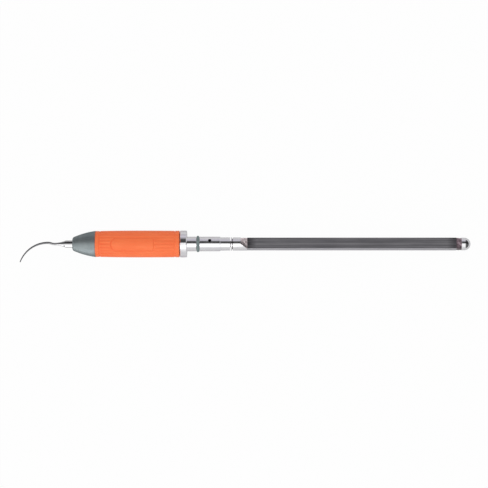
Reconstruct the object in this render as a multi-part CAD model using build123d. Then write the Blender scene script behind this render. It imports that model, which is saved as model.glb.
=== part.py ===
from build123d import *
import os
from math import cos, radians, sin, sqrt

# Magnetostrictive ultrasonic scaler insert with a swivelling soft grip, in millimetres.
# It lies along X: the working tip points to -X and curves to -Y, the nickel stack runs to +X.
# The origin is the centre of the flange's rear face, where the insert seats in its handpiece.
# "Station" is a place along X, and every radius is about the X axis.

# Clearances
SEAT_CLEARANCE = 0.01  # pieces pressed, brazed or bonded together
RUNNING_CLEARANCE = 0.04  # journal in its bushes
INSERTION_CLEARANCE = 0.05  # connecting body passed through the sleeve
SLIDING_CLEARANCE = 0.03  # lugs of the drive ring in their slots
SWIVEL_GAP = 0.2  # flange to the rear face of the grip
END_FLOAT = 0.1  # thrust washer to its shoulder
SEAL_SPACE = 0.05  # each side of a square-cut ring in its groove

# The handpiece's rubber ring is round in section, drawn with this many flats
RING_FLATS = 8

# Handpiece end of the sleeve
FLANGE_RADIUS = 5.22
FLANGE_THICKNESS = 2.7
FLANGE_EDGE = 0.25
SHANK_RADIUS = 2.83
SHANK_LENGTH = 13.0
SHANK_EDGE = 0.15
TAIL_RADIUS = 2.55
TAIL_LENGTH = 3.8
SEAL_STATION = 4.3
SEAL_CORD = 1.25
SEAL_GROOVE_WIDTH = 1.5
SEAL_FLOOR_WALL = 0.4
PORT_STATION = 8.9
PORT_RADIUS = 0.65
PORT_TILT = 30  # degrees from +Z toward +Y

# Connecting body
NECK_RADIUS = 1.2
WATER_GAP = 0.35
NECK_START_GAP = 0.5
CONNECTOR_LENGTH = 16.0
HEAD_GAP = 0.3
COLLAR_LENGTH = 0.45
HEAD_GROOVE_WIDTH = 0.35
HEAD_GROOVE_DEPTH = 0.45
HEAD_LENGTH = 3.0
TONGUE_LENGTH = 2.6
SCARF_START_HEIGHT = 0.0
SCARF_END_HEIGHT = -1.9

# Swivel bearing, from the flange forward
JOURNAL_WALL = 0.9
BUSH_WALL = 0.8
BUSH_FLANGE_STEP = 0.35
BUSH_FLANGE_THICKNESS = 0.6
REAR_BUSH_LENGTH = 5.6
SWIVEL_SEAL_WIDTH = 0.8
SPACER_LENGTH = 3.6
SPACER_WALL = 0.5
FRONT_BUSH_LENGTH = 4.3
SHOULDER_THICKNESS = 0.7
SHOULDER_CLEARANCE = 0.1
THRUST_WASHER_THICKNESS = 0.4
THRUST_WASHER_WIDTH = 0.4
CLIP_THICKNESS = 0.5
CLIP_GROOVE_DEPTH = 0.4
CLIP_OPENING = 1.8
CLIP_LAND = 0.5

# Drive ring and dampers
CHAMBER_LENGTH = 5.5
CHAMBER_CLEARANCE = 0.1
DAMPER_THICKNESS = 0.6
DRIVE_RING_LENGTH = 3.0
LUG_HEIGHT = 0.3
LUG_WIDTH = 1.2
LUG_COUNT = 2
NOTCH_RADIUS = 0.5
NOTCH_COUNT = 4
CROSS_PIN_RADIUS = 0.5
CROSS_PIN_INSET = 0.15

# Grip
CORE_WALL = 0.9
GRIP_SKIN = 0.68
GRIP_FRONT_WALL = 0.85
GRIP_MIDDLE_WALL = 1.03
GRIP_REAR_WALL = 0.97
FRONT_BAND = 1.3
REAR_BAND = 1.4
BAND_GROOVE = 0.35
RIB_COUNT = 24
RIB_CREST_WIDTH = 0.6
RIB_FOOT_WIDTH = 1.25
PANEL_LENGTH = 16.4
PANEL_WIDTH = 4.8
PANEL_INSET = 6.4
PANEL_SHIFT = -0.2
PANEL_FRONT_CORNER = 2.2
PANEL_REAR_CORNER = 0.9
PANEL_MOAT = 0.4

# Nose
NOSE_LENGTH = 9.0
NOSE_SPIGOT_LENGTH = 7.9
NOSE_FRONT_RADIUS = 2.5
NOSE_STEP = 0.03
NOSE_BULGE = 0.36
NOSE_BANDS = 3
NOSE_EDGE = 0.4
NOSE_WATER_GAP = 0.5
NOSE_SEAL_INSET = 2.25
NOSE_SEAL_DEPTH = 0.55
NOSE_SEAL_GROOVE_WIDTH = 0.7
NOSE_LIP_THICKNESS = 0.8
FLOW_GUIDE_LENGTH = 3.0
OUTLET_GAP = 0.25

# Working tip
TIP_SHANK_RADIUS = 1.4
TIP_SHANK_LENGTH = 11.2
TIP_PIN_RADIUS = 0.9
TIP_PIN_LENGTH = 5.0
TIP_TAPER_LENGTH = 4.0
TIP_TAPER_HOLLOW = 0.2
TIP_TAPER_BANDS = 3
TIP_STEM_LENGTH = 0.45
TIP_STEM_RADIUS = 0.475
TIP_END_RADIUS = 0.19
TIP_END_EDGE = 0.09
OFFSET_BEND_RADIUS = 3.7
OFFSET_BEND_ANGLE = 20.5
HOOK_RADIUS = 11.55
HOOK_ANGLE = 70.0
SECTION_SPACING = 1.5

# Stack
LAMINATION_COUNT = 16
LAMINATION_PITCH = 0.25
LAMINATION_GAP = 0.01
STACK_WIDTH = 4.25
STACK_LENGTH = 81.4
STACK_ROLL = -12  # degrees about X
BRAZE_CORNER = 0.3
BRAZE_STEP = 0.1
REAR_BRAZE_LENGTH = 2.0
CAP_RADIUS = 2.45
CAP_SKIRT = 1.15
CAP_BANDS = 4

# Radii that follow, from the axis outward
sleeve_bore = NECK_RADIUS + WATER_GAP
connector_radius = sleeve_bore - INSERTION_CLEARANCE
journal_radius = sleeve_bore + JOURNAL_WALL
bush_bore = journal_radius + RUNNING_CLEARANCE
bush_radius = bush_bore + BUSH_WALL
core_bore = bush_radius + SEAT_CLEARANCE
bush_flange_radius = bush_radius + BUSH_FLANGE_STEP
clip_groove_radius = journal_radius - CLIP_GROOVE_DEPTH
thrust_washer_bore = journal_radius + SEAT_CLEARANCE
thrust_washer_radius = thrust_washer_bore + THRUST_WASHER_WIDTH
shoulder_bore = journal_radius + SHOULDER_CLEARANCE
chamber_radius = thrust_washer_radius + CHAMBER_CLEARANCE
drive_ring_radius = core_bore - SLIDING_CLEARANCE
lug_radius = drive_ring_radius + LUG_HEIGHT
nose_socket_radius = lug_radius + SLIDING_CLEARANCE
nose_spigot_radius = nose_socket_radius - SEAT_CLEARANCE
nose_seal_floor = nose_socket_radius - NOSE_SEAL_DEPTH
nose_bore = connector_radius + NOSE_WATER_GAP
core_radius = core_bore + CORE_WALL
seal_floor_radius = sleeve_bore + SEAL_FLOOR_WALL
outlet_radius = TIP_SHANK_RADIUS + OUTLET_GAP

# Stations that follow, forward from the flange and then rearward from the sleeve
flange_front = -FLANGE_THICKNESS
grip_rear = flange_front - SWIVEL_GAP
bush_flange_front = grip_rear - BUSH_FLANGE_THICKNESS
rear_bush_front = grip_rear - REAR_BUSH_LENGTH
spacer_rear = rear_bush_front - SWIVEL_SEAL_WIDTH - 2 * SEAL_SPACE
front_bush_rear = spacer_rear - SPACER_LENGTH
shoulder_rear = front_bush_rear - FRONT_BUSH_LENGTH
shoulder_front = shoulder_rear - SHOULDER_THICKNESS
washer_rear = shoulder_front - END_FLOAT
washer_front = washer_rear - THRUST_WASHER_THICKNESS
clip_front = washer_front - CLIP_THICKNESS
journal_front = clip_front - CLIP_LAND
neck_front = journal_front - NECK_START_GAP
chamber_front = shoulder_front - CHAMBER_LENGTH
drive_ring_rear = chamber_front - DAMPER_THICKNESS
drive_ring_front = drive_ring_rear - DRIVE_RING_LENGTH
spigot_rear = drive_ring_front - DAMPER_THICKNESS
grip_front = spigot_rear - NOSE_SPIGOT_LENGTH
ribs_front = grip_front + FRONT_BAND
ribs_rear = grip_rear - REAR_BAND
nose_front = grip_front - NOSE_LENGTH
connector_front = neck_front - CONNECTOR_LENGTH
tip_shank_front = connector_front - TIP_SHANK_LENGTH
tip_taper_front = tip_shank_front - TIP_TAPER_LENGTH
tip_bend_start = tip_taper_front - TIP_STEM_LENGTH
tip_bends = [
    (OFFSET_BEND_RADIUS, -OFFSET_BEND_ANGLE), (OFFSET_BEND_RADIUS, OFFSET_BEND_ANGLE),
    (HOOK_RADIUS, HOOK_ANGLE),
]
tail_rear = SHANK_LENGTH + TAIL_LENGTH
collar_front = tail_rear + HEAD_GAP
collar_rear = collar_front + COLLAR_LENGTH
head_front = collar_rear + HEAD_GROOVE_WIDTH
head_rear = head_front + HEAD_LENGTH
stack_front = head_rear + TONGUE_LENGTH
stack_rear = stack_front + STACK_LENGTH
cap_front = stack_rear + REAR_BRAZE_LENGTH
cap_dome = cap_front + CAP_SKIRT
stack_height = LAMINATION_COUNT * LAMINATION_PITCH - LAMINATION_GAP


def turned(*outline):
    """A solid of revolution about X, from its half section as (station, radius) points."""
    return revolve(make_face(Polyline(*outline, close=True)), Axis.X)


def tube(start, end, inner, outer):
    """A plain ring or tube between two stations."""
    return turned((start, inner), (end, inner), (end, outer), (start, outer))


def rod(start, end, radius):
    """A plain cylinder between two stations."""
    return tube(start, end, 0, radius)


def stepped(arc, count):
    """Points along an arc, which turn into a few short cones."""
    return [tuple(arc @ (i / count))[:2] for i in range(count + 1)]


def edge_at(solid, station, radius):
    """The round edge of a turned solid that is nearest to a station and radius."""
    circles = solid.edges().filter_by(GeomType.CIRCLE)
    return circles.sort_by(lambda e: abs(e.arc_center.X - station) + abs(e.radius - radius))[0]


def around(count, solid, first=0.0):
    """Copies of a solid, evenly spaced about X."""
    return [Rot(first + 360 * i / count, 0, 0) * solid for i in range(count)]


def across(station):
    """The plane across X whose own axes are Y and Z."""
    return Plane(origin=(station, 0, 0), x_dir=(0, 1, 0), z_dir=(1, 0, 0))


def make_base_sleeve():
    """Flange, shank and journal in one turned piece, bored through for the water."""
    body = rod(journal_front, flange_front, journal_radius)
    body += rod(flange_front, 0, FLANGE_RADIUS)
    body += rod(0, SHANK_LENGTH, SHANK_RADIUS) + rod(SHANK_LENGTH, tail_rear, TAIL_RADIUS)
    body = chamfer(edge_at(body, flange_front, FLANGE_RADIUS), FLANGE_EDGE)
    body = chamfer(edge_at(body, 0, FLANGE_RADIUS), FLANGE_EDGE)
    body = chamfer(edge_at(body, SHANK_LENGTH, SHANK_RADIUS), SHANK_EDGE)
    half_width = SEAL_GROOVE_WIDTH / 2
    body -= tube(SEAL_STATION - half_width, SEAL_STATION + half_width, seal_floor_radius, FLANGE_RADIUS)
    body -= tube(clip_front, washer_front, clip_groove_radius, FLANGE_RADIUS)
    body -= rod(journal_front, tail_rear, sleeve_bore)
    port = Pos(PORT_STATION, 0, 0) * Rot(-PORT_TILT, 0, 0) * Cylinder(PORT_RADIUS, 2 * FLANGE_RADIUS)
    return body - port


def make_handpiece_o_ring():
    """The seal that stands proud of the shank and closes on the handpiece's bore."""
    section = RegularPolygon(SEAL_CORD / 2, RING_FLATS, major_radius=False, rotation=180 / RING_FLATS)
    middle = seal_floor_radius + SEAT_CLEARANCE + SEAL_CORD / 2
    return revolve(Pos(SEAL_STATION, middle) * section, Axis.X)


def make_thrust_washer():
    """Takes the pull of the grip between the clip and the core's shoulder."""
    return tube(washer_front, washer_rear, thrust_washer_bore, thrust_washer_radius)


def make_retaining_clip():
    """An open snap ring in the groove at the journal's front end."""
    ring = tube(clip_front, washer_front, clip_groove_radius + SEAT_CLEARANCE, thrust_washer_radius)
    gap = Pos((clip_front + washer_front) / 2, thrust_washer_radius, 0) * Box(
        2 * CLIP_THICKNESS, 2 * clip_groove_radius, CLIP_OPENING
    )
    return ring - gap


def make_connecting_body():
    """Front rod, long neck, collar, head and the tongue that the stack is brazed to."""
    head_floor = TAIL_RADIUS - HEAD_GROOVE_DEPTH
    body = rod(connector_front, neck_front, connector_radius) + rod(neck_front, collar_front, NECK_RADIUS)
    body += rod(collar_front, collar_rear, TAIL_RADIUS) + rod(collar_rear, head_front, head_floor)
    body += rod(head_front, head_rear, TAIL_RADIUS)
    body += rod(head_rear, stack_front, TAIL_RADIUS) & below_scarf()
    body -= rod(connector_front, connector_front + TIP_PIN_LENGTH + SEAT_CLEARANCE,
                TIP_PIN_RADIUS + SEAT_CLEARANCE)
    return body - cross_pin_rod(SEAT_CLEARANCE, connector_radius)


def below_scarf():
    """All that lies under the sloping scarf, between the head and the stack."""
    depth = 2 * TAIL_RADIUS
    outline = Polyline(
        (head_rear, SCARF_START_HEIGHT), (stack_front, SCARF_END_HEIGHT),
        (stack_front, -depth), (head_rear, -depth), close=True,
    )
    return extrude(make_face(outline), depth, both=True)


def cross_pin_rod(extra_radius, half_length):
    """The cross pin's rod, through the middle of the drive ring along Z."""
    middle = (drive_ring_front + drive_ring_rear) / 2
    return Pos(middle, 0, 0) * Cylinder(CROSS_PIN_RADIUS + extra_radius, 2 * half_length)


def make_cross_pin():
    """Locks the drive ring on the connecting body."""
    return cross_pin_rod(0, drive_ring_radius - CROSS_PIN_INSET)


def make_drive_ring():
    """Turns the connecting body with the grip, and lets water past in its notches."""
    middle = (drive_ring_front + drive_ring_rear) / 2
    ring = rod(drive_ring_front, drive_ring_rear, drive_ring_radius)
    lug = Pos(middle, lug_radius / 2, 0) * Box(DRIVE_RING_LENGTH, lug_radius, LUG_WIDTH)
    ring += around(LUG_COUNT, lug)
    ring -= rod(drive_ring_front, drive_ring_rear, connector_radius + SEAT_CLEARANCE)
    notch = Pos(middle, connector_radius + WATER_GAP, 0) * Rot(0, 90, 0) * Cylinder(
        NOTCH_RADIUS, DRIVE_RING_LENGTH
    )
    ring -= around(NOTCH_COUNT, notch, 180 / NOTCH_COUNT)
    return ring - cross_pin_rod(SEAT_CLEARANCE, lug_radius)


def make_damping_washers():
    """Two rubber washers that hold the drive ring between the core and the nose."""
    rear = tube(drive_ring_rear, chamber_front, nose_bore, drive_ring_radius)
    front = tube(spigot_rear, drive_ring_front, nose_bore, drive_ring_radius)
    return [rear, front]


def make_rear_bearing():
    """Flanged bush at the rear of the grip."""
    return tube(rear_bush_front, grip_rear, bush_bore, bush_radius) + tube(
        bush_flange_front, grip_rear, bush_bore, bush_flange_radius
    )


def make_swivel_seal():
    """Square-cut ring that keeps the water inside the grip, between the journal and the core."""
    return tube(spacer_rear + SEAL_SPACE, rear_bush_front - SEAL_SPACE, thrust_washer_bore, bush_radius)


def make_bearing_spacer():
    """Tube that keeps the two bushes apart."""
    return tube(front_bush_rear, spacer_rear, bush_radius - SPACER_WALL, bush_radius)


def make_front_bearing():
    """Plain bush against the core's shoulder."""
    return tube(shoulder_rear, front_bush_rear, bush_bore, bush_radius)


def make_grip_core():
    """Hard inner barrel: bearing seat, shoulder, water chamber, drive slots and nose socket."""
    core = rod(grip_front, grip_rear, core_radius)
    core -= rod(shoulder_rear, grip_rear, core_bore)
    core -= rod(bush_flange_front, grip_rear, bush_flange_radius + SEAT_CLEARANCE)
    core -= rod(shoulder_front, shoulder_rear, shoulder_bore)
    core -= rod(chamber_front, shoulder_front, chamber_radius)
    core -= rod(drive_ring_front, chamber_front, core_bore)
    core -= rod(grip_front, drive_ring_front, nose_socket_radius)
    slot = Pos((drive_ring_front + drive_ring_rear) / 2, nose_socket_radius / 2, 0) * Box(
        DRIVE_RING_LENGTH, nose_socket_radius, LUG_WIDTH + 2 * SLIDING_CLEARANCE
    )
    return core - around(LUG_COUNT, slot)


def barrel():
    """The grip's slightly swollen outer form as a solid."""
    front, rear = core_radius + GRIP_FRONT_WALL, core_radius + GRIP_REAR_WALL
    return turned(
        (grip_front, 0), (grip_front, front), (ribs_front, front),
        ((grip_front + grip_rear) / 2, core_radius + GRIP_MIDDLE_WALL),
        (ribs_rear, rear), (grip_rear, rear), (grip_rear, 0),
    )


def rib_bars():
    """Sloping-sided bars, sunk into the skin, that cut the ribs out of the barrel."""
    foot, crest = core_radius + GRIP_SKIN / 2, core_radius + GRIP_MIDDLE_WALL
    half_foot, half_crest = RIB_FOOT_WIDTH / 2, RIB_CREST_WIDTH / 2
    section = make_face(Polyline(
        (-half_foot, foot), (half_foot, foot), (half_crest, crest), (-half_crest, crest), close=True
    ))
    start, end = ribs_front + BAND_GROOVE, ribs_rear - BAND_GROOVE
    return around(RIB_COUNT, extrude(across(start) * section, end - start), 180 / RIB_COUNT)


def panel_prism(margin):
    """The smooth oblong pad on the grip's upper side, as a prism that stands on the axis."""
    outline = Pos(grip_front + PANEL_INSET + PANEL_LENGTH / 2, PANEL_SHIFT) * Rectangle(
        PANEL_LENGTH, PANEL_WIDTH
    )
    by_station = outline.vertices().group_by(Axis.X)
    outline = fillet(by_station[0], PANEL_FRONT_CORNER)
    outline = fillet(outline.vertices().group_by(Axis.X)[-1], PANEL_REAR_CORNER)
    if margin:
        outline = offset(outline, margin)
    return extrude(outline, 2 * core_radius)


def make_grip_sleeve():
    """Soft overmoulded grip: plain end bands, lengthwise ribs and one smooth pad."""
    outer = barrel()
    bands = outer - rod(ribs_front, ribs_rear, 2 * core_radius)
    ribs = [(outer & bar) - panel_prism(PANEL_MOAT) for bar in rib_bars()]
    pad = (outer & panel_prism(0)) - rod(grip_front, grip_rear, core_radius + GRIP_SKIN / 2)
    grip = rod(grip_front, grip_rear, core_radius + GRIP_SKIN) + bands + ribs + pad
    return grip - rod(grip_front, grip_rear, core_radius)


def make_nose_cone():
    """Hard nose with its socket spigot, water bore and the lip that holds the flow guide."""
    rear_radius = core_radius + GRIP_FRONT_WALL + NOSE_STEP
    side = SagittaArc((nose_front, NOSE_FRONT_RADIUS), (grip_front, rear_radius), NOSE_BULGE)
    nose = turned((nose_front, 0), *stepped(side, NOSE_BANDS), (grip_front, 0))
    nose = chamfer(edge_at(nose, nose_front, NOSE_FRONT_RADIUS), NOSE_EDGE)
    nose += rod(grip_front, spigot_rear, nose_spigot_radius)
    groove_front = grip_front + NOSE_SEAL_INSET
    nose -= tube(groove_front, groove_front + NOSE_SEAL_GROOVE_WIDTH, nose_seal_floor, nose_socket_radius)
    nose -= rod(nose_front + NOSE_LIP_THICKNESS, spigot_rear, nose_bore)
    return nose - rod(nose_front, nose_front + NOSE_LIP_THICKNESS, outlet_radius)


def make_nose_seal():
    """Square-cut ring between the nose spigot and its socket."""
    start = grip_front + NOSE_SEAL_INSET
    return tube(start + SEAL_SPACE, start + NOSE_SEAL_GROOVE_WIDTH - SEAL_SPACE,
                nose_seal_floor + SEAT_CLEARANCE, nose_socket_radius - SEAT_CLEARANCE)


def make_flow_guide():
    """Bush behind the nose's lip that spreads the water round the tip's shank."""
    start = nose_front + NOSE_LIP_THICKNESS
    return tube(start, start + FLOW_GUIDE_LENGTH, outlet_radius, nose_bore - SEAT_CLEARANCE)


def tip_pose(length):
    """Place and heading, in radians from -X toward -Y, after a length of the bent tip."""
    x, y, heading = tip_bend_start, 0.0, 0.0
    for radius, angle in tip_bends:
        side = 1 if angle > 0 else -1
        run = min(length, radius * radians(abs(angle)))
        turned_to = heading + side * run / radius
        x -= side * radius * (sin(turned_to) - sin(heading))
        y -= side * radius * (cos(heading) - cos(turned_to))
        heading = turned_to
        length -= run
    return x, y, heading


def bent_tip():
    """Round tapering wire, in short straight runs along the offset bend and the hook."""
    total = sum(radius * radians(abs(angle)) for radius, angle in tip_bends)
    count = round(total / SECTION_SPACING)
    sections = []
    for i in range(count + 1):
        x, y, heading = tip_pose(total * i / count)
        place = Plane(origin=(x, y, 0), x_dir=(0, 0, 1), z_dir=(-cos(heading), -sin(heading), 0))
        radius = TIP_STEM_RADIUS + (TIP_END_RADIUS - TIP_STEM_RADIUS) * i / count
        sections.append(place * Circle(radius))
    wire = loft(sections, ruled=True)
    return chamfer(wire.faces().sort_by_distance((x, y, 0))[0].edges(), TIP_END_EDGE)


def make_scaler_tip():
    """Fixing pin, shank, hollow-ground taper and the bent working end."""
    hollow = SagittaArc(
        (tip_taper_front, TIP_STEM_RADIUS), (tip_shank_front, TIP_SHANK_RADIUS), -TIP_TAPER_HOLLOW
    )
    shank = turned(
        (tip_bend_start, 0), (tip_bend_start, TIP_STEM_RADIUS), *stepped(hollow, TIP_TAPER_BANDS),
        (connector_front, TIP_SHANK_RADIUS), (connector_front, TIP_PIN_RADIUS),
        (connector_front + TIP_PIN_LENGTH, TIP_PIN_RADIUS), (connector_front + TIP_PIN_LENGTH, 0),
    )
    return shank + bent_tip()


def cut_corners(width, height, corner):
    """A section rolled with the stack, with its four corners cut off."""
    whole = Rectangle(width, height)
    return Rot(0, 0, STACK_ROLL) * chamfer(whole.vertices(), corner)


def make_stack_laminations():
    """Thin nickel strips, stacked with their flat sides up and rolled with the stack."""
    thickness = LAMINATION_PITCH - LAMINATION_GAP
    middle = (stack_front + stack_rear) / 2
    return [
        Pos(middle, 0, 0) * Rot(STACK_ROLL, 0, 0)
        * Pos(0, 0, LAMINATION_PITCH * (i - (LAMINATION_COUNT - 1) / 2))
        * Box(STACK_LENGTH, STACK_WIDTH, thickness)
        for i in range(LAMINATION_COUNT)
    ]


def braze_fillet(round_end, square_end, radius):
    """Solder that runs from an octagon within a round end to the stack's square one."""
    octagon = cut_corners(2 * radius, 2 * radius, (2 - sqrt(2)) * radius)
    square = cut_corners(STACK_WIDTH, stack_height, BRAZE_CORNER)
    return loft([across(round_end) * octagon, across(square_end) * square], ruled=True)


def make_front_braze():
    """Fills the scarf between the tongue and the stack."""
    return braze_fillet(head_rear, stack_front, TAIL_RADIUS - BRAZE_STEP) - below_scarf()


def make_rear_braze():
    """Closes the stack's rear end."""
    return braze_fillet(cap_front, stack_rear, CAP_RADIUS - BRAZE_STEP)


def make_end_cap():
    """Polished cap with a domed end."""
    dome = CenterArc((cap_dome, 0), CAP_RADIUS, 0, 90)
    return turned((cap_front, 0), *stepped(dome, CAP_BANDS), (cap_front, CAP_RADIUS))


PARTS = {
    "base_sleeve": make_base_sleeve,
    "handpiece_o_ring": make_handpiece_o_ring,
    "thrust_washer": make_thrust_washer,
    "retaining_clip": make_retaining_clip,
    "scaler_tip": make_scaler_tip,
    "connecting_body": make_connecting_body,
    "drive_ring": make_drive_ring,
    "cross_pin": make_cross_pin,
    "damping_washers": make_damping_washers,
    "rear_bearing": make_rear_bearing,
    "swivel_seal": make_swivel_seal,
    "bearing_spacer": make_bearing_spacer,
    "front_bearing": make_front_bearing,
    "grip_core": make_grip_core,
    "grip_sleeve": make_grip_sleeve,
    "nose_cone": make_nose_cone,
    "nose_seal": make_nose_seal,
    "flow_guide": make_flow_guide,
    "stack_laminations": make_stack_laminations,
    "front_braze": make_front_braze,
    "rear_braze": make_rear_braze,
    "end_cap": make_end_cap,
}

os.makedirs("parts", exist_ok=True)
for name, make in PARTS.items():
    made = make()
    shape = Compound(children=list(made)) if isinstance(made, list) else made
    export_step(shape, f"parts/{name}.step")
    print(name, "solids", len(shape.solids()), "volume", round(shape.volume, 3))
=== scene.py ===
"""Looks of the ultrasonic scaler insert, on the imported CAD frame.

The insert lies along X with its tip toward -X. The camera looks straight down on it, so the
picture's up is +Y. Blender's own lengths are in metres, while shapes and patterns are worked
out here in millimetres. Angles round the insert go from +Z toward +Y.
"""

import math

import bpy
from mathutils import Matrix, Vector


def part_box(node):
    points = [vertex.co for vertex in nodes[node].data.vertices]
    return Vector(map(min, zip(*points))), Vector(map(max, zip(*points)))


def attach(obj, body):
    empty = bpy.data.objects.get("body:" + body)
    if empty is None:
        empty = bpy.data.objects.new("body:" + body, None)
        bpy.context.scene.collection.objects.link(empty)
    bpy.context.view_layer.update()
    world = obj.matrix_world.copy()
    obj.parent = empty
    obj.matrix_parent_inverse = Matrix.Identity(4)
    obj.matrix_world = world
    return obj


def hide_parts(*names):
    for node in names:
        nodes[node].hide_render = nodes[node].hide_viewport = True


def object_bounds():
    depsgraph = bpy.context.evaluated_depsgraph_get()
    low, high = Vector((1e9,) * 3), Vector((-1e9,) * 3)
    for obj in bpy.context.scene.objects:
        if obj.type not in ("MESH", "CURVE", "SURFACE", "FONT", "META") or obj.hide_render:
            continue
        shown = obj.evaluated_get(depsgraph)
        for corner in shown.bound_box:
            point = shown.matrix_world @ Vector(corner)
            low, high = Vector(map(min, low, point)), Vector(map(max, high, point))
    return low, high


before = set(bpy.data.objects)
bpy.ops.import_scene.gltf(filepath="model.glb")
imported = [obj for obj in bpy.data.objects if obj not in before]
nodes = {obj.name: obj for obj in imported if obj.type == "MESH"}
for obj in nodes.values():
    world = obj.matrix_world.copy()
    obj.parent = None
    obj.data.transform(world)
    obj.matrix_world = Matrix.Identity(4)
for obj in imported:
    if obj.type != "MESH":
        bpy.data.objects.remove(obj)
cad_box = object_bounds()
MM = 0.001


def ends(node):
    """A CAD node's front and rear along X, in millimetres."""
    return [corner.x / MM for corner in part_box(node)]


def outer_radius(node):
    """A round CAD node's radius in millimetres, from its reach toward +Z."""
    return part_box(node)[1].z / MM


STACK_FRONT, STACK_REAR = ends("stack_laminations")
STACK_HALF_WIDTH, STACK_HALF_HEIGHT = 2.125, 2.0
STACK_ROLL = math.radians(-12)
SCARF_LENGTH, SCARF_DROP = 2.6, 1.9  # the tongue's slope, which the front solder fills
JOINT_CHAMFER = 0.06  # on the round parts, where the solder ends


# ---------------------------------------------------------------- materials

NOISE_BAND = (0.3, 0.7)  # nearly all values of a noise lie between these


class Shading:
    """Short calls for the nodes of one shader tree, a material's or the world's."""

    def __init__(self, tree):
        self.tree = tree

    def add(self, kind, **settings):
        node = self.tree.nodes.new(kind)
        for setting, value in settings.items():
            setattr(node, setting, value)
        return node

    def link(self, output, socket):
        self.tree.links.new(output, socket)

    def feed(self, value, socket):
        """Links an output, or sets a plain number or colour."""
        if isinstance(value, bpy.types.NodeSocket):
            self.link(value, socket)
        else:
            socket.default_value = value

    def math(self, operation, first, second=0.0):
        node = self.add("ShaderNodeMath", operation=operation)
        self.feed(first, node.inputs[0])
        self.feed(second, node.inputs[1])
        return node.outputs[0]

    def vector(self, x, y, z):
        node = self.add("ShaderNodeCombineXYZ")
        for value, socket in zip((x, y, z), node.inputs):
            self.feed(value, socket)
        return node.outputs[0]

    def split(self, vector):
        """The three outputs x, y and z of a vector."""
        node = self.add("ShaderNodeSeparateXYZ")
        self.link(vector, node.inputs[0])
        return node.outputs

    def scale(self, vector, factor):
        node = self.add("ShaderNodeVectorMath", operation="SCALE")
        self.link(vector, node.inputs[0])
        self.feed(factor, node.inputs["Scale"])
        return node.outputs[0]

    def spread(self, value, low, high, to_low, to_high):
        """Carries the span from low to high over to another one, and stops at its ends."""
        node = self.add("ShaderNodeMapRange")
        self.feed(value, node.inputs["Value"])
        for name, number in (
            ("From Min", low), ("From Max", high), ("To Min", to_low), ("To Max", to_high)
        ):
            node.inputs[name].default_value = number
        return node.outputs[0]

    def ramp(self, value, *stops):
        """A colour ramp from (position, colour) stops."""
        node = self.add("ShaderNodeValToRGB")
        elements = node.color_ramp.elements
        while len(elements) < len(stops):
            elements.new(0.5)
        for element, (position, colour) in zip(elements, stops):
            element.position = position
            element.color = (*colour, 1.0)
        self.feed(value, node.inputs[0])
        return node.outputs[0]

    def blend(self, share, first, second, kind="MIX"):
        """Two colours, mixed by a share from the first to the second."""
        node = self.add("ShaderNodeMix", data_type="RGBA", blend_type=kind)
        self.feed(share, node.inputs[0])
        for value, socket in ((first, node.inputs[6]), (second, node.inputs[7])):
            if isinstance(value, tuple):
                value = (*value, 1.0)
            self.feed(value, socket)
        return node.outputs[2]

    def mix_into(self, output, share, first, second):
        """Two shader nodes, mixed by a share into the tree's output node of that name."""
        node = self.add("ShaderNodeMixShader")
        for source, socket in zip((share, first.outputs[0], second.outputs[0]), node.inputs):
            self.link(source, socket)
        self.link(node.outputs[0], self.tree.nodes[output].inputs[0])


class Material(Shading):
    """A procedural material on one Principled shader, with its patterns in millimetres."""

    def __init__(self, name, **plain):
        self.made = bpy.data.materials.new(name)
        self.made.use_nodes = True
        super().__init__(self.made.node_tree)
        self.shader = self.tree.nodes["Principled BSDF"]
        for socket, value in plain.items():
            self.shader.inputs[socket.replace("_", " ")].default_value = value
        self.place = self.scale(self.add("ShaderNodeTexCoord").outputs["Object"], 1 / MM)
        self.x, self.y, self.z = self.split(self.place)
        self.radius = self.math("SQRT", self.math(
            "ADD", self.math("MULTIPLY", self.y, self.y), self.math("MULTIPLY", self.z, self.z)
        ))

    def noise(self, per_mm, detail=3.0, roughness=0.55, place=None):
        """Noise of so many cells per millimetre, one number or one for each axis."""
        stretched = self.add("ShaderNodeVectorMath", operation="MULTIPLY")
        self.link(place or self.place, stretched.inputs[0])
        cells = per_mm if isinstance(per_mm, tuple) else (per_mm,) * 3
        stretched.inputs[1].default_value = cells
        node = self.add("ShaderNodeTexNoise")
        node.inputs["Scale"].default_value = 1.0
        node.inputs["Detail"].default_value = detail
        node.inputs["Roughness"].default_value = roughness
        self.link(stretched.outputs[0], node.inputs["Vector"])
        return node.outputs[0]

    def turning(self, per_mm):
        """Fine rings, as a lathe or a polishing wheel leaves them round X."""
        return self.noise(per_mm, 4.0, 0.7, self.vector(self.x, self.radius, 0.0))

    def pocket(self, start, end, floor, lip, amount):
        """A mask for what lies between two stations and deeper than a surface's radius."""
        fade = 0.05
        within = self.math("MULTIPLY", self.spread(self.x, start - fade, start, 0.0, 1.0),
                           self.spread(self.x, end, end + fade, 1.0, 0.0))
        return self.math("MULTIPLY", within, self.spread(self.radius, floor, lip, amount, 0.0))

    def scatter(self, *lengths):
        """How far red, green and blue light travel under the surface, in millimetres."""
        radius = self.shader.inputs["Subsurface Radius"]
        radius.default_value = [length * MM for length in lengths]

    def colour(self, output):
        self.link(output, self.shader.inputs["Base Color"])

    def roughness(self, output):
        self.link(output, self.shader.inputs["Roughness"])

    def bumps(self, *layers):
        """Stacks (height, strength, depth in mm) layers into the shader's normal."""
        normal = None
        for height, strength, depth in layers:
            node = self.add("ShaderNodeBump")
            node.inputs["Strength"].default_value = strength
            node.inputs["Distance"].default_value = depth * MM
            self.link(height, node.inputs["Height"])
            if normal:
                self.link(normal, node.inputs["Normal"])
            normal = node.outputs["Normal"]
        self.link(normal, self.shader.inputs["Normal"])


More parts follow.
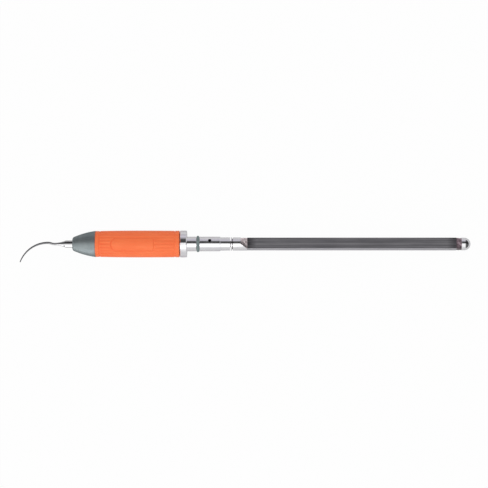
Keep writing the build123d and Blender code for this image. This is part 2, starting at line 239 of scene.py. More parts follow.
def polished_steel():
    """Bright turned stainless steel: fine polishing rings, a few hairlines, dull smudges.

    The narrow grooves round the connecting body's head, and the drilled water port, get a painted
    shade: their colour is darkened to stand in for the shadow deep in them.
    """
    hazy, clear, ring_line = (0.80, 0.79, 0.82), (0.85, 0.845, 0.86), (0.66, 0.64, 0.68)
    recess_shade = (0.08, 0.07, 0.07)
    # Each place's front and rear, and the radii of its floor and lip.
    head_grooves, water_port = (16.75, 17.95, 2.3, 2.5), (8.2, 9.6, 2.74, 2.80)
    m = Material("polished_steel", Metallic=1.0, Specular_Tint=(0.78, 0.77, 0.80, 1.0))
    smudge = m.noise(0.45, 4.0)
    rings = m.turning((9.0, 9.0, 1.0))
    hairlines = m.noise((14.0, 1.2, 1.2), 2.0)
    tint = m.ramp(smudge, (0.35, hazy), (0.6, clear))
    ringed = m.blend(m.spread(rings, *NOISE_BAND, 0.0, 0.18), tint, ring_line)
    # painted shade: the head's grooves and the water port are darkened where shadow falls in them
    painted_recess_shade = m.math("MAXIMUM", m.pocket(*head_grooves, 0.85), m.pocket(*water_port, 0.97))
    m.colour(m.blend(painted_recess_shade, ringed, recess_shade))
    m.roughness(m.math("ADD", m.spread(smudge, 0.42, 0.68, 0.09, 0.16),
                       m.spread(hairlines, 0.62, 0.75, 0.0, 0.08)))
    m.bumps((rings, 0.10, 0.01), (hairlines, 0.04, 0.01))
    return m.made


def tip_steel():
    """Hardened working steel: bright along the shank, darker and satin on the working end."""
    dull, bright, worked = (0.50, 0.495, 0.50), (0.61, 0.605, 0.61), (0.17, 0.17, 0.174)
    satin_before, bright_after = -54.0, -47.6  # stations
    m = Material("tip_steel", Metallic=1.0)
    along = m.noise((0.5, 7.0, 7.0), 4.0, 0.65)
    rings = m.turning((12.0, 5.0, 1.0))
    working = m.spread(m.x, satin_before, bright_after, 1.0, 0.0)
    tone = m.ramp(along, (0.3, dull), (0.7, bright))
    m.colour(m.blend(working, tone, worked))
    m.roughness(m.math("ADD", m.spread(along, *NOISE_BAND, 0.05, 0.11),
                       m.math("MULTIPLY", working, 0.16)))
    m.bumps((along, 0.12, 0.01), (rings, 0.06, 0.01))
    return m.made


def spring_steel():
    """Plain hard steel of the hidden clip, ring, pin and spacer, with a light oil film."""
    dark, pale = (0.30, 0.30, 0.31), (0.47, 0.46, 0.46)
    m = Material("spring_steel", Metallic=1.0, Coat_Weight=0.15, Coat_Roughness=0.2)
    mottle = m.noise(1.6, 5.0)
    m.colour(m.ramp(mottle, (0.3, dark), (0.7, pale)))
    m.roughness(m.spread(mottle, *NOISE_BAND, 0.22, 0.38))
    m.bumps((m.turning((6.0, 6.0, 1.0)), 0.12, 0.02))
    return m.made


def seal_rubber():
    """Grey-green nitrile rubber with fine pores and a dusting of filler."""
    dark, pale, filler = (0.120, 0.158, 0.158), (0.165, 0.205, 0.205), (0.27, 0.31, 0.31)
    m = Material("seal_rubber", Specular_IOR_Level=0.18, Sheen_Weight=0.12, Sheen_Roughness=0.5)
    pores = m.noise(7.0, 3.0, 0.7)
    cloud = m.noise(0.9, 3.0)
    tone = m.ramp(cloud, (0.3, dark), (0.7, pale))
    m.colour(m.blend(m.spread(pores, 0.55, 0.75, 0.0, 0.35), tone, filler))
    m.roughness(m.spread(pores, *NOISE_BAND, 0.58, 0.74))
    m.bumps((pores, 0.25, 0.03), (cloud, 0.15, 0.08))
    return m.made


def bearing_plastic():
    """Filled low-friction plastic of the bushes, ivory with dark specks."""
    speck, ivory, pale_ivory = (0.28, 0.25, 0.20), (0.66, 0.61, 0.50), (0.74, 0.70, 0.60)
    m = Material("bearing_plastic", Specular_IOR_Level=0.4, Subsurface_Weight=0.05)
    m.scatter(1.0, 1.0, 1.0)
    specks = m.noise(5.0, 2.0, 0.6)
    m.colour(m.ramp(specks, (0.34, speck), (0.42, ivory), (0.8, pale_ivory)))
    m.roughness(m.spread(specks, *NOISE_BAND, 0.38, 0.5))
    m.bumps((m.turning((4.0, 4.0, 1.0)), 0.15, 0.02))
    return m.made


def core_plastic():
    """Hard grey barrel under the soft grip, glass filled, so it has short pale fibres."""
    dark, pale, fibre = (0.15, 0.155, 0.16), (0.20, 0.205, 0.21), (0.34, 0.34, 0.34)
    m = Material("core_plastic", Specular_IOR_Level=0.45)
    fibres = m.noise((1.2, 9.0, 9.0), 3.0, 0.65)
    cloud = m.noise(0.4, 3.0)
    tone = m.ramp(cloud, (0.3, dark), (0.7, pale))
    m.colour(m.blend(m.spread(fibres, 0.6, 0.75, 0.0, 0.4), tone, fibre))
    m.roughness(m.spread(fibres, *NOISE_BAND, 0.42, 0.56))
    m.bumps((fibres, 0.15, 0.02))
    return m.made


def grip_orange():
    """Soft orange silicone: spark-eroded grain, a painted shade that darkens the grooves, paler
    worn rib crests.
    """
    deep, orange, light = (0.78, 0.128, 0.025), (0.80, 0.146, 0.033), (0.82, 0.166, 0.045)
    groove_shade, worn = (0.77, 0.113, 0.022), (0.92, 0.25, 0.11)
    groove_radius, crest_radius = 4.92, 5.10
    m = Material("grip_orange", Specular_IOR_Level=0.45, Sheen_Weight=0.06, Sheen_Roughness=0.45,
                 Subsurface_Weight=0.10)
    m.scatter(1.2, 0.4, 0.15)
    grain = m.noise(6.5, 3.0, 0.65)
    flow = m.noise((0.12, 0.5, 0.5), 4.0)
    crest = m.spread(m.radius, groove_radius, crest_radius, 0.0, 1.0)
    body = m.ramp(flow, (0.30, deep), (0.55, orange), (0.75, light))
    # painted shade: the grooves between the ribs are darkened to stand in for the shade in them
    groove_shaded = m.blend(crest, groove_shade, body)
    wear = m.math("MULTIPLY", crest, m.spread(grain, 0.5, 0.75, 0.0, 0.35))
    m.colour(m.blend(wear, groove_shaded, worn))
    m.roughness(m.spread(grain, *NOISE_BAND, 0.44, 0.62))
    m.bumps((grain, 0.22, 0.03), (flow, 0.10, 0.15))
    return m.made


def nose_grey():
    """Hard grey nose: fine blasted surface with a soft sheen and faint turning rings."""
    dark, pale, blasted = (0.226, 0.257, 0.265), (0.279, 0.311, 0.319), (0.36, 0.385, 0.39)
    m = Material("nose_grey", Metallic=0.85, Specular_IOR_Level=0.25,
                 Specular_Tint=(0.34, 0.37, 0.38, 1.0))
    blast = m.noise(8.0, 3.0, 0.7)
    cloud = m.noise(0.35, 3.0)
    rings = m.turning((5.0, 2.0, 1.0))
    tone = m.ramp(cloud, (0.3, dark), (0.7, pale))
    m.colour(m.blend(m.spread(blast, 0.55, 0.8, 0.0, 0.3), tone, blasted))
    m.roughness(m.spread(blast, *NOISE_BAND, 0.46, 0.58))
    m.bumps((blast, 0.14, 0.02), (rings, 0.08, 0.02))
    return m.made


def stack_nickel():
    """Annealed nickel strip: dark oxide with long rolling lines and a few bright rubs.

    The flame has smoked both ends beside the braze, and the sheared edges are bare.
    """
    dark_oxide, pale_oxide = (0.190, 0.186, 0.202), (0.256, 0.250, 0.270)
    rolled, drawn_dark, drawn_pale = (0.33, 0.322, 0.338), (0.12, 0.116, 0.128), (0.44, 0.43, 0.45)
    rub, soot = (0.46, 0.45, 0.46), (0.050, 0.045, 0.052)
    bare_dark, bare_middle, bare_pale = (0.34, 0.33, 0.352), (0.43, 0.42, 0.45), (0.50, 0.49, 0.52)
    smoked_to, faded_out_at = 0.8, 3.7  # distances from either end
    face_edge, sheared_edge = STACK_HALF_WIDTH - 0.035, STACK_HALF_WIDTH - 0.005
    m = Material("stack_nickel", Metallic=0.75, Specular_IOR_Level=0.5)
    across = m.math("ADD", m.math("MULTIPLY", m.y, math.cos(STACK_ROLL)),
                    m.math("MULTIPLY", m.z, math.sin(STACK_ROLL)))
    rolling = m.noise((0.10, 9.0, 9.0), 4.0, 0.65)
    patches = m.noise((0.10, 0.5, 0.5), 4.0)
    draw_lines = m.noise((0.02, 1.3, 1.3), 2.0)
    rubs = m.noise((0.35, 5.0, 5.0), 2.0)
    tone = m.ramp(patches, (0.3, dark_oxide), (0.7, pale_oxide))
    for share, colour in (
        (m.spread(rolling, 0.40, 0.62, 0.0, 0.6), rolled),
        (m.spread(draw_lines, 0.42, 0.60, 0.35, 0.0), drawn_dark),
        (m.spread(draw_lines, 0.52, 0.66, 0.0, 0.30), drawn_pale),
        (m.spread(rubs, 0.66, 0.8, 0.0, 0.5), rub),
    ):
        tone = m.blend(share, tone, colour)
    from_end = m.math("MINIMUM", m.math("SUBTRACT", m.x, STACK_FRONT),
                      m.math("SUBTRACT", STACK_REAR, m.x))
    smoke = m.math("MULTIPLY", m.spread(from_end, smoked_to, faded_out_at, 1.0, 0.0),
                   m.spread(rolling, 0.34, 0.60, 0.15, 1.0))
    sheared = m.spread(m.math("ABSOLUTE", across), face_edge, sheared_edge, 0.0, 1.0)
    bare = m.ramp(rolling, (0.36, bare_dark), (0.50, bare_middle), (0.66, bare_pale))
    m.colour(m.blend(sheared, m.blend(smoke, tone, soot), bare))
    m.roughness(m.spread(rolling, *NOISE_BAND, 0.34, 0.5))
    m.bumps((rolling, 0.18, 0.01), (patches, 0.05, 0.03))
    return m.made


def braze():
    """Pinkish silver braze: run and wetted, with dark flux specks, and a painted shadow along the
    scarf where the solder meets the tongue.

    The joint at the end cap took more heat, so it is darker and more lilac.
    """
    shades = ((0.30, (0.34, 0.28, 0.29)), (0.42, (0.69, 0.59, 0.60)),
              (0.56, (0.86, 0.75, 0.77)), (0.75, (0.94, 0.85, 0.87)))
    speck, scarf_shade, heated = (0.12, 0.09, 0.10), (0.07, 0.055, 0.06), (0.40, 0.34, 0.38)
    shade_full_to, faded_out_at = 0.45, 2.0  # heights over the scarf
    heat_reach = 1.0  # from the stack's end toward its middle
    m = Material("braze", Metallic=0.65)
    pools = m.noise(1.1, 4.0)
    grain = m.noise(4.0, 4.0, 0.7)
    specked = m.blend(m.spread(grain, 0.60, 0.70, 0.0, 0.85), m.ramp(pools, *shades), speck)
    # painted shadow: the solder is darkened low along the scarf, in the corner where it meets the
    # tongue
    scarf_depth = m.spread(m.x, STACK_FRONT - SCARF_LENGTH, STACK_FRONT, 0.0, SCARF_DROP)
    over_scarf = m.math("ADD", m.y, scarf_depth)
    scarf_shadow = m.math("MULTIPLY", m.spread(over_scarf, shade_full_to, faded_out_at, 1.0, 0.0),
                   m.spread(grain, 0.35, 0.65, 1.0, 0.5))
    scarf_shaded = m.blend(scarf_shadow, specked, scarf_shade)
    at_cap = m.spread(m.x, STACK_REAR - heat_reach, STACK_REAR, 0.0, 1.0)
    m.colour(m.blend(at_cap, scarf_shaded, m.blend(1.0, scarf_shaded, heated, "MULTIPLY")))
    m.roughness(m.spread(grain, *NOISE_BAND, 0.20, 0.42))
    m.bumps((pools, 0.5, 0.25), (grain, 0.25, 0.05))
    return m.made


FINISHES = {
    maker.__name__: maker()
    for maker in (
        polished_steel, tip_steel, spring_steel, seal_rubber, bearing_plastic, core_plastic,
        grip_orange, nose_grey, stack_nickel, braze,
    )
}
for node in nodes.values():
    for slot in node.material_slots:
        slot.material = FINISHES[slot.material.name.split(".")[0]]


# ---------------------------------------------------------------- smoothing of the meshes

CAD_JOIN, SEAM_JOIN = 0.002, 0.001  # points nearer than this become one
SMOOTH_UP_TO = 28  # degrees between two faces
STRIP_BEVEL = 0.045


def smoothing_group():
    """Geometry nodes that join a mesh's faces and shade it smooth up to an edge angle."""
    group = bpy.data.node_groups.new("smooth_by_angle", "GeometryNodeTree")
    group.interface.new_socket("Mesh", in_out="INPUT", socket_type="NodeSocketGeometry")
    group.interface.new_socket("Mesh", in_out="OUTPUT", socket_type="NodeSocketGeometry")
    add, link = group.nodes.new, group.links.new
    plain = add("GeometryNodeRemoveAttribute")
    plain.inputs["Name"].default_value = "custom_normal"
    merge = add("GeometryNodeMergeByDistance")
    merge.inputs["Distance"].default_value = CAD_JOIN * MM
    smooth = add("GeometryNodeSetShadeSmooth")
    smooth.domain = "FACE"
    steep = add("FunctionNodeCompare")
    steep.inputs[1].default_value = math.radians(SMOOTH_UP_TO)
    sharp = add("GeometryNodeSetShadeSmooth")
    sharp.domain = "EDGE"
    sharp.inputs["Shade Smooth"].default_value = False
    link(add("GeometryNodeInputMeshEdgeAngle").outputs["Unsigned Angle"], steep.inputs[0])
    link(steep.outputs[0], sharp.inputs["Selection"])
    chain = [add("NodeGroupInput"), plain, merge, smooth, sharp, add("NodeGroupOutput")]
    for before, after in zip(chain, chain[1:]):
        link(before.outputs[0], after.inputs[0])
    return group


smooth_by_angle = smoothing_group()


def smooth_edges(thing):
    thing.modifiers.new("smooth", "NODES").node_group = smooth_by_angle


def join_seams(piece):
    piece.modifiers.new("join", "WELD").merge_threshold = SEAM_JOIN * MM


for node in nodes.values():
    smooth_edges(node)

# The nickel strips' sheared edges are tumbled, so each strip shows in the stack's sides.
tumbled = nodes["stack_laminations"].modifiers.new("tumbled", "BEVEL")
tumbled.width = STRIP_BEVEL * MM
tumbled.segments = 3
tumbled.limit_method = "ANGLE"
tumbled.harden_normals = True


# ---------------------------------------------------------------- pieces that stand for CAD nodes

def turns(count):
    """That many equal angles, once round."""
    return [2 * math.pi * i / count for i in range(count)]


def polar(x, radius, angle):
    """A point from its station, its distance from the axis and its angle round it."""
    return x, radius * math.sin(angle), radius * math.cos(angle)


def circle(x, radius, angles):
    return [polar(x, radius, angle) for angle in angles]


def ease(low, high, value):
    """0 below low, 1 above high, and a smooth step between."""
    share = min(max((value - low) / (high - low), 0.0), 1.0)
    return share * share * (3 - 2 * share)


def facing_out(points, faces):
    """The quads of a closed piece, turned round if they look into it."""
    enclosed = sum(
        points[a].dot(points[b].cross(points[c]) + points[c].cross(points[d]))
        for a, b, c, d in faces
    )
    return faces if enclosed > 0 else [face[::-1] for face in faces]


def add_piece(name, rows, finish, body, stands_for):
    """A closed, smooth mesh piece from rows of points, which rides on a CAD body.

    Each row is a closed line of as many points as the others have.
    """
    count = len(rows[0])
    points = [Vector(point) for row in rows for point in row]
    faces = [
        (row * count + i, row * count + (i + 1) % count,
         (row + 1) * count + (i + 1) % count, (row + 1) * count + i)
        for row in range(len(rows) - 1) for i in range(count)
    ]
    mesh = bpy.data.meshes.new(name)
    mesh.from_pydata([point * MM for point in points], [], facing_out(points, faces))
    mesh.materials.append(FINISHES[finish])
    mesh.shade_smooth()
    piece = bpy.data.objects.new(name, mesh)
    bpy.context.collection.objects.link(piece)
    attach(piece, body)
    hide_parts(stands_for)
    return piece


class Grip:
    """The overmoulded grip, with soft ribs and a smooth pad in its outer surface."""

    RIBS = 24
    FRONT_BAND, REAR_BAND = 1.3, 1.4
    FRONT_RADIUS, MIDDLE_RADIUS, REAR_RADIUS = 5.05, 5.23, 5.17
    VALLEY = 0.21  # depth between the ribs
    RIB_TOP, RIB_FOOT = 0.17, 0.47  # from a rib's middle, in shares of the pitch
    GROOVE, GROOVE_SHARE, GROOVE_WALL = 0.35, 0.6, 0.22  # beside each band
    RUN_OUT_START, RUN_OUT_END = 0.8, 2.2  # of the ribs, in widths of that groove
    PAD_START, PAD_LENGTH, PAD_WIDTH, PAD_SHIFT = 6.4, 16.4, 4.8, -0.2
    PAD_FRONT_CORNER, PAD_REAR_CORNER = 2.2, 0.9
    PAD_TOP, PAD_FOOT = -0.25, 0.08  # distances outside the pad's outline
    MOAT, MOAT_FLOOR, MOAT_LIP = 0.4, 0.5, 1.4  # the last two in widths of the moat
    EDGE, EDGE_ROWS = 0.15, 3
    STEP, ACROSS_RIB = 0.16, 12  # between rows, and points across one rib

    def __init__(self):
        self.front, self.rear = ends("grip_sleeve")
        self.bore = outer_radius("grip_core")
        self.ribs_front, self.ribs_rear = self.front + self.FRONT_BAND, self.rear - self.REAR_BAND

    def barrel(self, x):
        """Radius of the slightly swollen outline, without ribs."""
        if x < self.ribs_front:
            return self.FRONT_RADIUS
        if x > self.ribs_rear:
            return self.REAR_RADIUS
        middle = (self.ribs_front + self.ribs_rear) / 2
        half = (self.ribs_rear - self.ribs_front) / 2
        end = self.FRONT_RADIUS if x < middle else self.REAR_RADIUS
        return self.MIDDLE_RADIUS - (self.MIDDLE_RADIUS - end) * ((x - middle) / half) ** 2

    def pad_distance(self, x, y):
        """Distance outside the pad's rounded outline, negative inside it."""
        dx = x - (self.front + self.PAD_START + self.PAD_LENGTH / 2)
        corner = self.PAD_FRONT_CORNER if dx < 0 else self.PAD_REAR_CORNER
        over_x = abs(dx) - self.PAD_LENGTH / 2 + corner
        over_y = abs(y - self.PAD_SHIFT) - self.PAD_WIDTH / 2 + corner
        outside = math.hypot(max(over_x, 0), max(over_y, 0))
        return outside + min(max(over_x, over_y), 0) - corner

    def radius(self, x, angle):
        """Radius of the finished surface at a station and an angle."""
        full = self.barrel(x)
        if not self.ribs_front < x < self.ribs_rear:
            edge = min(x - self.front, self.rear - x)
            return full - self.EDGE * (1 - ease(0, self.EDGE, edge)) ** 2
        pitch = (angle / (2 * math.pi) * self.RIBS) % 1.0
        rib = 1 - ease(self.RIB_TOP, self.RIB_FOOT, abs(pitch - 0.5))
        inset = min(x - self.ribs_front, self.ribs_rear - x)
        rib *= ease(self.GROOVE * self.RUN_OUT_START, self.GROOVE * self.RUN_OUT_END, inset)
        height = max(rib, 1 - self.GROOVE_SHARE * ease(0.0, self.GROOVE_WALL, inset))
        if math.cos(angle) > 0:
            outside = self.pad_distance(x, full * math.sin(angle))
            height *= ease(self.MOAT * self.MOAT_FLOOR, self.MOAT * self.MOAT_LIP, outside)
            height = max(height, 1 - ease(self.PAD_TOP, self.PAD_FOOT, outside))
        return full - self.VALLEY * (1 - height)

    def build(self):
        inner = self.rear - self.front - 2 * self.EDGE
        count = int(inner / self.STEP)
        insets = [self.EDGE * i / self.EDGE_ROWS for i in range(self.EDGE_ROWS)]
        stations = [self.front + inset for inset in insets]
        stations += [self.front + self.EDGE + inner * i / count for i in range(count + 1)]
        stations += [self.rear - inset for inset in reversed(insets)]
        angles = turns(self.RIBS * self.ACROSS_RIB)
        skin = [[polar(x, self.radius(x, angle), angle) for angle in angles] for x in stations]
        mouth = circle(self.front, self.bore, angles)
        rows = [mouth, *skin, circle(self.rear, self.bore, angles), mouth]
        piece = add_piece("soft_grip", rows, "grip_orange", "tool", "grip_sleeve")
        join_seams(piece)
        smooth_edges(piece)


def round_seal():
    """The handpiece's rubber ring, round in section, with a fine moulding line outside."""
    flash, sharpness = 0.015, 40
    around, section = turns(120), 28
    front, rear = ends("handpiece_o_ring")
    cord = (rear - front) / 2
    middle_x, middle_radius = (front + rear) / 2, outer_radius("handpiece_o_ring") - cord
    rows = []
    for i in range(section + 1):
        turn = 2 * math.pi * i / section
        reach = cord * (1 - flash + flash * math.cos(turn) ** sharpness)
        x, radius = middle_x + reach * math.sin(turn), middle_radius + reach * math.cos(turn)
        rows.append(circle(x, radius, around))
    join_seams(add_piece("round_seal", rows, "seal_rubber", "base", "handpiece_o_ring"))


LATHE_AROUND, DOME_ROWS = 96, 24


def lathe(name, outline, finish, stands_for):
    """A closed turned piece on the tool from its half section of (station, radius) points."""
    around = turns(LATHE_AROUND)
    rows = [circle(x, radius, around) for x, radius in [*outline, outline[0]]]
    piece = add_piece(name, rows, finish, "tool", stands_for)
    join_seams(piece)
    smooth_edges(piece)


def arc(x, r, radius, start, end, count=6):
    """Points about (x, r), between two angles from +X toward outward, in quarter turns."""
    steps = [(start + (end - start) * i / count) * math.pi / 2 for i in range(count + 1)]
    return [(x + radius * math.cos(turn), r + radius * math.sin(turn)) for turn in steps]


def smooth_nose():
    """The grey nose with its full curve, a rolled front edge, water bore, lip and spigot."""
    front_radius, bulge, roll, lip = 2.5, 0.36, 0.95, 0.8
    bore, water_gap = 2.0, 0.25
    spigot_proud, seal_depth, seal_play = 0.02, 0.54, 0.05
    side_rows, side_end = 24, 0.99  # the end as a share of the nose's length
    bevel_length, bevel_start, bevel_end = 0.03, 0.01, 0.05  # of the rear edge
    front, spigot_rear = ends("nose_cone")
    rear, rear_radius = ends("grip_sleeve")[0], outer_radius("nose_cone")
    seal_front, seal_rear = ends("nose_seal")
    seal_front, seal_rear = seal_front - seal_play, seal_rear + seal_play
    outlet = outer_radius("scaler_tip") + water_gap
    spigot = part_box("drive_ring")[1].y / MM + spigot_proud
    length = rear - front
    slope = math.atan((rear_radius - front_radius + 4 * bulge) / length)
    side_start = roll * (1 - math.sin(slope)) / length
    side = []
    for i in range(side_rows + 1):
        share = side_start + (side_end - side_start) * i / side_rows
        chord = front_radius + (rear_radius - front_radius) * share
        side.append((front + length * share, chord + 4 * bulge * share * (1 - share)))
    roll_end = 1 + slope / (math.pi / 2)
    roll_middle = (front + roll, side[0][1] - roll * math.cos(slope))
    lathe("smooth_nose", [
        (front, outlet), *arc(*roll_middle, roll, 2, roll_end), *side[1:],
        (rear - bevel_length, rear_radius - bevel_start), (rear, rear_radius - bevel_end),
        (rear, spigot),
        (seal_front, spigot), (seal_front, spigot - seal_depth),
        (seal_rear, spigot - seal_depth), (seal_rear, spigot),
        (spigot_rear, spigot), (spigot_rear, bore), (front + lip, bore), (front + lip, outlet),
    ], "nose_grey", "nose_cone")


class Solder:
    """A run of braze that wets a round part at one end and the square stack at the other."""

    WAIST = 0.10
    # Swellings: waves round the axis, radians per millimetre along it, shift and height.
    LUMPS = ((3, 1.9, 0.0, 0.028), (5, -3.1, 1.0, 0.028), (8, 4.3, 2.0, 0.028),
             (13, -6.1, 0.5, 0.014))
    SQUARE, ROUND = 9, 2  # powers of the section's outline
    ROUND_FROM = 0.9  # share of the way, from the square end
    AROUND, ALONG = 144, 36

    def __init__(self, node, round_part, floor=None):
        front, rear = ends(node)
        square_first = front > STACK_FRONT
        self.square_end, self.round_end = (front, rear) if square_first else (rear, front)
        self.round_radius = outer_radius(round_part) - JOINT_CHAMFER
        self.node, self.floor = node, floor

    def lump(self, x, turn):
        """Low, irregular swellings from a few waves that don't repeat together."""
        return sum(height * math.sin(around * turn + along * x + shift)
                   for around, along, shift, height in self.LUMPS)

    def point(self, share, turn):
        """A point at a share of the way from the square end and at an angle round X."""
        x = self.square_end + (self.round_end - self.square_end) * share
        rolled = turn + STACK_ROLL
        power = self.SQUARE - (self.SQUARE - self.ROUND) * ease(0.0, self.ROUND_FROM, share)
        half_y = STACK_HALF_WIDTH + (self.round_radius - STACK_HALF_WIDTH) * share
        half_z = STACK_HALF_HEIGHT + (self.round_radius - STACK_HALF_HEIGHT) * share
        reach = (abs(math.sin(rolled) / half_y) ** power
                 + abs(math.cos(rolled) / half_z) ** power) ** (-1 / power)
        reach += math.sin(math.pi * share) * (self.lump(x, turn) - self.WAIST)
        x, y, z = polar(x, reach, turn)
        if self.floor:
            y = max(y, self.floor(x))
        return x, y, z

    def closing_row(self, x, share):
        """A row whose points are all in one place."""
        return [(x, self.point(share, 0.0)[1], 0.0)] * self.AROUND

    def build(self, name):
        around = turns(self.AROUND)
        rows = [self.closing_row(self.square_end, 0.0)]
        for i in range(self.ALONG + 1):
            rows.append([self.point(i / self.ALONG, turn) for turn in around])
        rows.append(self.closing_row(self.round_end, 1.0))
        piece = add_piece(name, rows, "braze", "tool", self.node)
        join_seams(piece)
        smooth_edges(piece)


def scarf_height(x):
    """The tongue's sloping face, with a little clearance for the solder that lies on it."""
    clearance = 0.01
    return -SCARF_DROP * (1 + (x - STACK_FRONT) / SCARF_LENGTH) + clearance


def domed_cap():
    """The polished end, half a ball on a short skirt."""
    front, rear = ends("end_cap")
    radius = outer_radius("end_cap")
    lathe("domed_cap", [
        (front, 0.0), (front, radius - JOINT_CHAMFER), (front + JOINT_CHAMFER, radius),
        *arc(rear - radius, 0.0, radius, 1, 0, DOME_ROWS),
    ], "polished_steel", "end_cap")


class WorkingTip:
    """The ground tip: pin, shank, hollow taper, and the wire bent aside and into a hook."""

    PIN, SHANK, STEM, END = 0.9, 1.4, 0.475, 0.19
    SHANK_LENGTH, TAPER_LENGTH, STEM_LENGTH, HOLLOW = 11.2, 4.0, 0.45, 0.2
    BENDS = ((3.7, -20.5), (3.7, 20.5), (11.55, 70.0))  # radius and degrees of each
    CLOSED = 0.001  # radius of the row that closes an end
    AROUND, TAPER_ROWS, WIRE_ROWS, END_ROWS = 36, 14, 72, 6

    def __init__(self):
        self.pin_rear = ends("scaler_tip")[1]
        self.shank_rear = ends("connecting_body")[0]
        self.shank_front = self.shank_rear - self.SHANK_LENGTH
        self.bend_start = self.shank_front - self.TAPER_LENGTH - self.STEM_LENGTH

    def pose(self, length):
        """Place and heading, in radians from -X toward -Y, after a length of the bent wire."""
        x, y, heading = self.bend_start, 0.0, 0.0
        for radius, angle in self.BENDS:
            side = 1 if angle > 0 else -1
            run = min(length, radius * math.radians(abs(angle)))
            turned_to = heading + side * run / radius
            x -= side * radius * (math.sin(turned_to) - math.sin(heading))
            y -= side * radius * (math.cos(heading) - math.cos(turned_to))
            heading = turned_to
            length -= run
        return x, y, heading

    def ring(self, x, y, heading, radius):
        """One closed row of points across the wire."""
        points = []
        for turn in turns(self.AROUND):
            out, up = radius * math.sin(turn), radius * math.cos(turn)
            points.append((x - out * math.sin(heading), y + out * math.cos(heading), up))
        return points

    def build(self):
        straight = [
            (self.pin_rear, self.CLOSED), (self.pin_rear, self.PIN), (self.shank_rear, self.PIN),
            (self.shank_rear, self.SHANK), (self.shank_front, self.SHANK),
        ]
        for i in range(1, self.TAPER_ROWS + 1):
            share = i / self.TAPER_ROWS
            chord = self.SHANK + (self.STEM - self.SHANK) * share
            straight.append((self.shank_front - self.TAPER_LENGTH * share,
                             chord - 4 * self.HOLLOW * share * (1 - share)))
        rows = [self.ring(x, 0.0, 0.0, radius) for x, radius in straight]
        total = sum(radius * math.radians(abs(angle)) for radius, angle in self.BENDS)
        for i in range(self.WIRE_ROWS + 1):
            share = i / self.WIRE_ROWS
            wire = self.STEM + (self.END - self.STEM) * share
            rows.append(self.ring(*self.pose((total - self.END) * share), wire))
        for i in range(1, self.END_ROWS + 1):
            turn = i / self.END_ROWS * math.pi / 2
            place = self.pose(total - self.END + self.END * math.sin(turn))
            rows.append(self.ring(*place, max(self.END * math.cos(turn), self.CLOSED)))
        smooth_edges(add_piece("working_tip", rows, "tip_steel", "tool", "scaler_tip"))


Grip().build()
round_seal()
smooth_nose()
Solder("front_braze", "connecting_body", scarf_height).build("front_solder")
Solder("rear_braze", "end_cap").build("rear_solder")
domed_cap()
WorkingTip().build()


# ---------------------------------------------------------------- floor, world, lamps, camera

FLOOR_HALF, FLOOR_GAP = 1.5, 0.02 * MM
FLOOR_WHITE = (("Is Camera Ray", 0.97), ("Is Glossy Ray", 0.2), ("Is Transmission Ray", 0.5))
FILL = 1.09


def grey(level):
    return (level, level, level)


# What reflections see, as (degrees from straight up toward +Y, brightness).
SKY = (
    (-180, grey(0.45)), (-95, grey(0.64)), (-60, grey(0.85)), (-46, grey(1.12)), (6, grey(1.12)),
    (14, grey(0.06)), (40, grey(0.06)), (52, (0.40, 0.39, 0.42)), (66, (0.70, 0.68, 0.74)),
    (76, (0.65, 0.63, 0.69)), (95, (0.42, 0.41, 0.45)), (180, grey(0.45)),
)
# Cards in that sky: where their soft edge starts and ends, and what they multiply it by.
TIP_FLAG, TIP_CARD, REAR_FLAG = (0.16, 0.34, 0.15), (0.16, 0.34, 1.4), (0.22, 0.50, 0.10)


def floor_material():
    """White to the camera, with a share of plain pale paper that keeps the shadow."""
    made = bpy.data.materials.new("floor")
    made.use_nodes = True
    s = Shading(made.node_tree)
    s.tree.nodes.remove(s.tree.nodes["Principled BSDF"])
    paper, glow = s.add("ShaderNodeBsdfDiffuse"), s.add("ShaderNodeEmission")
    paper.inputs["Color"].default_value = (*grey(0.56), 1)
    rays = s.add("ShaderNodeLightPath").outputs
    white = 0.0
    for ray, share in FLOOR_WHITE:
        white = s.math("ADD", white, s.math("MULTIPLY", rays[ray], share))
    s.mix_into("Material Output", white, paper, glow)
    return made


def lay_floor():
    """A wide pale floor under the flange and the end cap, on which the insert leans."""
    flange_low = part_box("base_sleeve")[0].z
    cap_low, cap_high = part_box("end_cap")
    slope = (cap_low.z - flange_low) / (cap_high.x - cap_high.z)
    corners = [
        (x, y, flange_low - FLOOR_GAP + slope * x)
        for x, y in ((-FLOOR_HALF, -FLOOR_HALF), (FLOOR_HALF, -FLOOR_HALF),
                     (FLOOR_HALF, FLOOR_HALF), (-FLOOR_HALF, FLOOR_HALF))
    ]
    mesh = bpy.data.meshes.new("floor")
    mesh.from_pydata(corners, [], [(0, 1, 2, 3)])
    mesh.materials.append(floor_material())
    floor = bpy.data.objects.new("floor", mesh)
    bpy.context.collection.objects.link(floor)


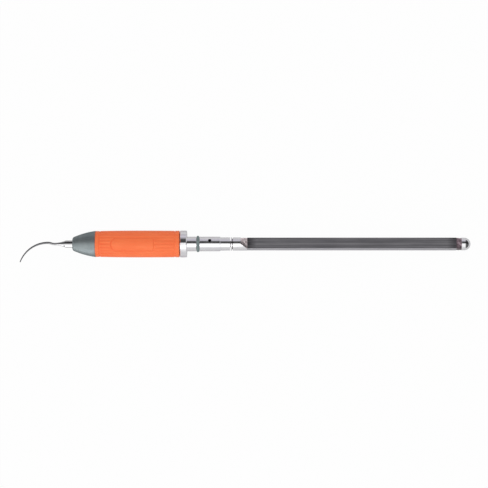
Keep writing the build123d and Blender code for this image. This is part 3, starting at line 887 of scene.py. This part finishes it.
def light_world():
    """Even fill for the surfaces, white to the camera, and for reflections a soft studio sky.

    Three cards stand in that sky, where only the insert's tapered and domed parts mirror them:
    past the tip a dark flag toward +Y and a white card toward -Y, and past the rear a dark flag.
    """
    world = bpy.data.worlds.new("studio")
    bpy.context.scene.world = world
    world.use_nodes = True
    s = Shading(world.node_tree)
    rays = s.add("ShaderNodeLightPath").outputs
    x, y, z = s.split(s.add("ShaderNodeTexCoord").outputs["Generated"])
    turn = s.spread(s.math("ARCTAN2", y, z), -math.pi, math.pi, 0.0, 1.0)
    sky = s.ramp(turn, *[(0.5 + degrees / 360, level) for degrees, level in SKY])
    tipward, downward = s.math("MULTIPLY", x, -1.0), s.math("MULTIPLY", y, -1.0)
    cards = 1.0
    for toward, (start, end, level) in (
        (s.math("MINIMUM", tipward, y), TIP_FLAG),
        (s.math("MINIMUM", tipward, downward), TIP_CARD),
        (x, REAR_FLAG),
    ):
        cards = s.math("MULTIPLY", cards, s.spread(toward, start, end, 1.0, level))
    seen = s.math("MAXIMUM", rays["Is Camera Ray"], rays["Is Transmission Ray"])
    shown, diffuse = s.tree.nodes["Background"], s.add("ShaderNodeBackground")
    s.link(s.blend(seen, s.scale(sky, cards), grey(1.0)), shown.inputs["Color"])
    diffuse.inputs["Color"].default_value = (*grey(1.0), 1)
    diffuse.inputs["Strength"].default_value = FILL
    direct = s.math("MAXIMUM", seen, rays["Is Glossy Ray"])
    s.mix_into("World Output", direct, diffuse, shown)


def softbox(name, place, width, height, watts):
    """A large soft lamp that faces the insert."""
    lamp = bpy.data.lights.new(name, "AREA")
    lamp.shape = "RECTANGLE"
    lamp.size, lamp.size_y = width, height
    lamp.energy = watts
    holder = bpy.data.objects.new(name, lamp)
    holder.location = place
    holder.rotation_euler = (-Vector(place)).to_track_quat("-Z", "Y").to_euler()
    holder.visible_camera = False
    bpy.context.collection.objects.link(holder)


def place_camera():
    """Straight above the insert, which fills the width but for narrow margins."""
    lens, sensor = 135.0, 36.0
    framing, off_centre = 1.0826, -0.4 * MM
    low, high = cad_box
    width = framing * (high.x - low.x)
    camera = bpy.data.objects.new("camera", bpy.data.cameras.new("camera"))
    camera.data.lens = lens
    camera.data.sensor_width = sensor
    camera.location = ((low.x + high.x) / 2 + off_centre, 0, width * lens / sensor)
    bpy.context.collection.objects.link(camera)
    bpy.context.scene.camera = camera


lay_floor()
light_world()
softbox("key", place=(-0.05, -0.30, 0.63), width=0.36, height=0.28, watts=0.36)
softbox("side", place=(-0.30, -0.60, 0.10), width=0.30, height=0.30, watts=0.95)
place_camera()
bpy.context.scene.view_settings.view_transform = "Standard"
